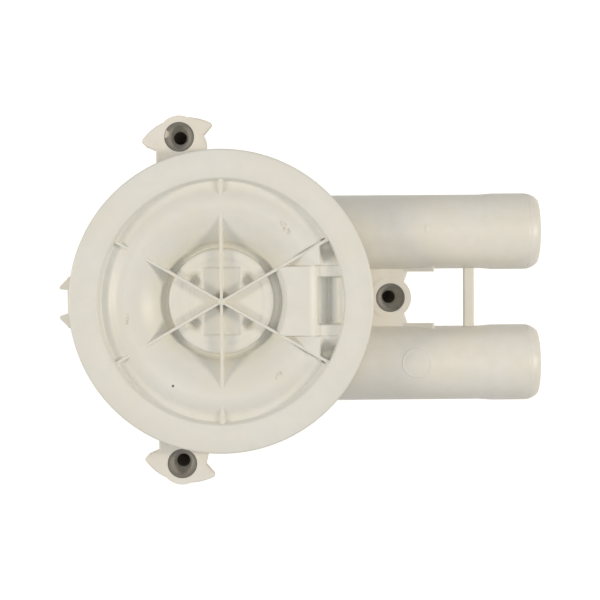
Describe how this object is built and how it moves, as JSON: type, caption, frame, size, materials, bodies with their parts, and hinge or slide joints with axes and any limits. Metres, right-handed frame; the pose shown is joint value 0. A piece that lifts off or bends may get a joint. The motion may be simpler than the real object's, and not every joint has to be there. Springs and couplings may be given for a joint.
{
  "type": "washing machine drain pump",
  "caption": "Direct-drive washer drain pump: ribbed round cover, parallel hose nipples, rubber isolators, and a turning shaft, seal and impeller inside.",
  "frame": {"origin": "on the shaft axis, at the mouth of the drive socket", "axes": "+Z along the shaft to the front cover, +X along the hose nipples to their open ends"},
  "size_m": [0.2028, 0.1556, 0.094],
  "materials": {
    "ivory_plastic": "satin moulded ivory polypropylene",
    "grey_rubber": "matt moulded grey rubber",
    "black_plastic": "matt glass-filled black nylon",
    "black_rubber": "matt black rubber",
    "bright_steel": "ground stainless steel",
    "spring_steel": "rolled spring steel",
    "sintered_steel": "grey sintered steel",
    "bronze": "oily sintered bronze",
    "felt": "oil-soaked wool felt",
    "white_ceramic": "lapped white ceramic",
    "carbon": "lapped black carbon"
  },
  "bodies": {
    "pump_casing": {"volute_housing": "ivory_plastic", "front_cover": "ivory_plastic", "isolator_port_side": "grey_rubber", "isolator_top": "grey_rubber", "isolator_bottom": "grey_rubber", "seal_side_bearing": "bronze", "motor_side_bearing": "bronze", "oil_felt": "felt", "bearing_retainer": "spring_steel", "seal_seat": "white_ceramic", "seal_seat_cup": "black_rubber"},
    "rotor": {"impeller": "black_plastic", "drive_shaft": "bright_steel", "drive_hub": "black_plastic", "drive_insert": "sintered_steel", "seal_carbon_ring": "carbon", "seal_bellows": "black_rubber", "seal_spring": "spring_steel", "seal_drive_cup": "bright_steel", "thrust_washer": "spring_steel", "retaining_ring": "spring_steel", "water_slinger": "black_rubber"}
  },
  "joints": [
    {"name": "rotor_spin", "type": "hinge", "parent": "pump_casing", "child": "rotor", "pos_m": [0, 0, 0], "axis": [0, 0, 1], "continuous": true}
  ]
}
